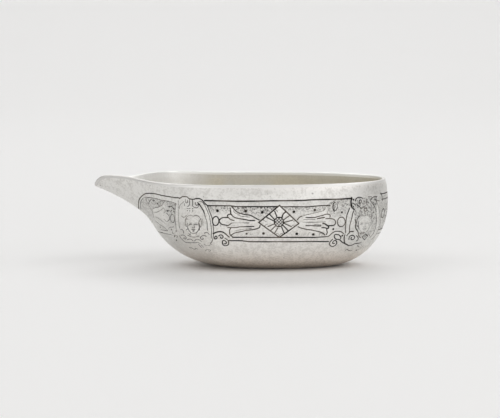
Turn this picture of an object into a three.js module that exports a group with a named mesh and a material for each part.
// Pap boat: a shallow feeding cup raised from one sheet of silver, with a pouring lip drawn out at one end
// and a wire soldered round its edge. Millimetres, Z up. The lip points to -X and the boat rests on z = 0,
// with the middle of its length and width over the origin.

import * as THREE from 'three';

// Overall sizes
const length = 120;
const width = 64;
const rimHeight = 35.7;

// Raised body: its belly is the widest level, and above it the wall leans in to the rim
const bellyHeight = 25.8;
const sternLeanIn = 1.2;
const sideLeanIn = 1.2;
const wall = 0.8;
const sternRise = 0.24;

// Flat oval that the boat rests on
const baseLength = 41.5;
const baseWidth = 22;
const baseAftOfMiddle = 15;

// Plan of the rings: 2 is an ellipse, and more is a fuller oval
const baseFullness = 2;
const rimFullness = 2.28;
const widestAftOfMiddle = 0;

// Lip: how far it reaches beyond the bowl, the level where it leaves the bow, the power that its keel line
// sweeps out by, how softly that starts, and the height of the wall's lower edge at its tip
const lipReach = 22.6;
const lipStart = 19.5;
const keelSweep = 1.41;
const lipEasing = 4;
const tipHeight = 32.6;

// The bowl narrows into the lip between these distances from the tip
const narrowingFrom = 35.2;
const narrowingTo = 7.5;
const narrowingShare = 0.555;

// The lip's edge sweeps up above the rim, is twisted a little as hammered work is, and dips at the tip
const lipRise = 0.43;
const riseFrom = 49;
const riseTo = 6;
const lipTwist = 2.1;
const twistFrom = 25.5;
const twistTo = 8.7;
const twistHalfWidth = 3.5;
const tipDipShare = 0.55;

// Wire round the edge: flush with the outside of the wall and proud of it inside
const wireWidth = 1.5;
const wireHeight = 1.3;

// Facets
const stepsRound = 112;
const stepsUpOutside = 22;
const stepsUpInside = 18;
const stepsOverWire = 6;
const lipCrowding = 0.3;

const lipTip = -length / 2;
const stern = length / 2;
const bow = lipTip + lipReach;
const quarterTurn = Math.PI / 2;
const bellyShare = (bellyHeight * quarterTurn) / (bellyHeight * quarterTurn + rimHeight - bellyHeight);

const between = (from, to, share) => from + (to - from) * share;

// Nothing far below 0 and the value itself far above, with a soft bend between
const softRamp = (value, softness) => (value + Math.hypot(value, softness)) / 2;

// 0 at `from` and 1 at `to`, with no kink in the slope or the curve at either end
const ease = (from, to, value) => THREE.MathUtils.smootherstep((value - from) / (to - from), 0, 1);

// A point of the outside. `turn` goes round the boat from the stern (0) by the +Y side to the lip (PI),
// and `up` climbs the wall from the edge of the base (0) to the rim (1).
function outside(turn, up) {
  const climb = Math.min(up / bellyShare, 1) * quarterTurn;
  const overBelly = Math.max(up - bellyShare, 0) / (1 - bellyShare);
  const spread = Math.sin(climb);
  const level = bellyHeight * (1 - Math.cos(climb)) + (rimHeight - bellyHeight) * overBelly;

  // Half sizes of the ring at this level
  const middle = between(baseAftOfMiddle, widestAftOfMiddle, spread);
  const aft = between(baseAftOfMiddle + baseLength / 2, stern, spread) - sternLeanIn * overBelly ** 2;
  const halfWidth = between(baseWidth / 2, width / 2, spread) - sideLeanIn * overBelly ** 2;

  // The keel line climbs the bow and runs out along the underside of the lip
  const lipShare = (Math.max(level - lipStart, 0) / (rimHeight - lipStart)) ** 2;
  const tipDip = rimHeight + lipRise - tipHeight;
  const keelLevel = level + (lipRise - tipDip) * lipShare;
  const alongLip = softRamp(keelLevel - lipStart, lipEasing) / softRamp(tipHeight - lipStart, lipEasing);
  const fore = between(baseAftOfMiddle - baseLength / 2, bow, spread) - lipReach * alongLip ** keelSweep;

  // Full oval ring, in shares of its half sizes
  const fullness = between(baseFullness, rimFullness, spread);
  const swell = (Math.abs(Math.cos(turn)) ** fullness + Math.abs(Math.sin(turn)) ** fullness) ** (-1 / fullness);
  const lengthwise = Math.cos(turn) * swell;
  const crosswise = Math.sin(turn) * swell;

  const x = middle + (lengthwise > 0 ? aft - middle : middle - fore) * lengthwise;
  const fromTip = x - lipTip;
  const y = halfWidth * crosswise * (1 - narrowingShare * ease(narrowingFrom, narrowingTo, fromTip));

  const rise = lipRise * ease(riseFrom, riseTo, fromTip);
  const dip = lengthwise < 0 ? tipDip * (1 - ease(0, tipDipShare, Math.abs(crosswise))) : 0;
  const sideways = y / Math.hypot(y, twistHalfWidth);
  const twist = (-lipTwist / 2) * ease(twistFrom, twistTo, fromTip) * sideways;
  const sheer = sternRise * (Math.max(x, 0) / stern) ** 2 * (level / rimHeight) ** 2;
  return new THREE.Vector3(x, y, level + (rise - dip + twist) * lipShare + sheer);
}

// The way out of the metal, square to the outside
function outward(turn, up) {
  const step = 1e-4;
  const round = outside(turn + step, up).sub(outside(turn - step, up));
  const climbing = outside(turn, up + step).sub(outside(turn, Math.max(up - step, 0)));
  return round.cross(climbing).normalize();
}

// A point `depth` inside the outer face, `drop` below the top of the edge along the wall
function inWall(turn, drop, depth) {
  const step = 1e-3;
  const climbRate = outside(turn, 1).distanceTo(outside(turn, 1 - step)) / step;
  const up = 1 - drop / climbRate;
  return outside(turn, up).addScaledVector(outward(turn, up), -depth);
}

const turns = Array.from({ length: stepsRound }, (_, i) => {
  const even = (2 * Math.PI * i) / stepsRound;
  return even + lipCrowding * Math.sin(even);
});

const ring = (pointAt) => turns.map(pointAt);

// Where the wall ends and the wire sits on it
const seatOuter = ring((turn) => inWall(turn, wireHeight, 0));
const seatInner = ring((turn) => inWall(turn, wireHeight, wall));

// Height of the seat at each turn, as a share of the climb from base to rim
const seatShares = ring((turn) => {
  const step = 1e-3;
  return 1 - (wireHeight * step) / outside(turn, 1).distanceTo(outside(turn, 1 - step));
});

// Band of triangles between two rings. It faces out when the second ring lies above the first on an outside.
function band(lower, upper) {
  const faces = [];
  for (let i = 0; i < stepsRound; i += 1) {
    const next = (i + 1) % stepsRound;
    faces.push([lower[i], lower[next], upper[next]], [lower[i], upper[next], upper[i]]);
  }
  return faces;
}

const turnedOver = (faces) => faces.map(([a, b, c]) => [a, c, b]);

// Flat plate inside a ring, facing up
function plate(edge, centre) {
  return edge.map((point, i) => [centre, point, edge[(i + 1) % stepsRound]]);
}

function bands(rings) {
  return rings.slice(1).flatMap((upper, i) => band(rings[i], upper));
}

function meshOf(name, faces, material) {
  const geometry = new THREE.BufferGeometry();
  const positions = faces.flat().flatMap((point) => point.toArray());
  geometry.setAttribute('position', new THREE.Float32BufferAttribute(positions, 3));
  geometry.computeVertexNormals();
  const mesh = new THREE.Mesh(geometry, material);
  mesh.name = name;
  return mesh;
}

// Rings of one face of the wall from the base to the wire's seat
function wallRings(steps, depth, seat) {
  const rings = [];
  for (let k = 0; k < steps; k += 1) {
    rings.push(
      turns.map((turn, i) => {
        const up = (seatShares[i] * k) / steps;
        return outside(turn, up).addScaledVector(outward(turn, up), -depth);
      })
    );
  }
  return [...rings, seat];
}

function makeBowl() {
  const outer = wallRings(stepsUpOutside, 0, seatOuter);
  const inner = wallRings(stepsUpInside, wall, seatInner);
  const faces = [
    ...bands(outer),
    ...turnedOver(bands(inner)),
    ...band(seatOuter, seatInner),
    ...turnedOver(plate(outer[0], new THREE.Vector3(baseAftOfMiddle, 0, 0))),
    ...plate(inner[0], new THREE.Vector3(baseAftOfMiddle, 0, wall)),
  ];
  const silver = new THREE.MeshStandardMaterial({ color: 0xd6d3cc, roughness: 0.38, metalness: 1 });
  return meshOf('bowl', faces, silver);
}

// The wire's section is a D: flat on its seat, straight down the outside and round over the top
function makeRimWire() {
  const rounding = wireWidth / 2;
  const rings = [seatOuter];
  for (let k = 0; k <= stepsOverWire; k += 1) {
    const angle = (Math.PI * k) / stepsOverWire;
    const drop = rounding * (1 - Math.sin(angle));
    const depth = rounding * (1 - Math.cos(angle));
    rings.push(ring((turn) => inWall(turn, drop, depth)));
  }
  rings.push(seatInner);
  const faces = [...bands(rings), ...turnedOver(band(seatOuter, seatInner))];
  const polished = new THREE.MeshStandardMaterial({ color: 0xe2dfd9, roughness: 0.3, metalness: 1 });
  return meshOf('rim_wire', faces, polished);
}

const papBoat = new THREE.Group();
papBoat.name = 'pap_boat';
papBoat.add(makeBowl(), makeRimWire());

export default papBoat;
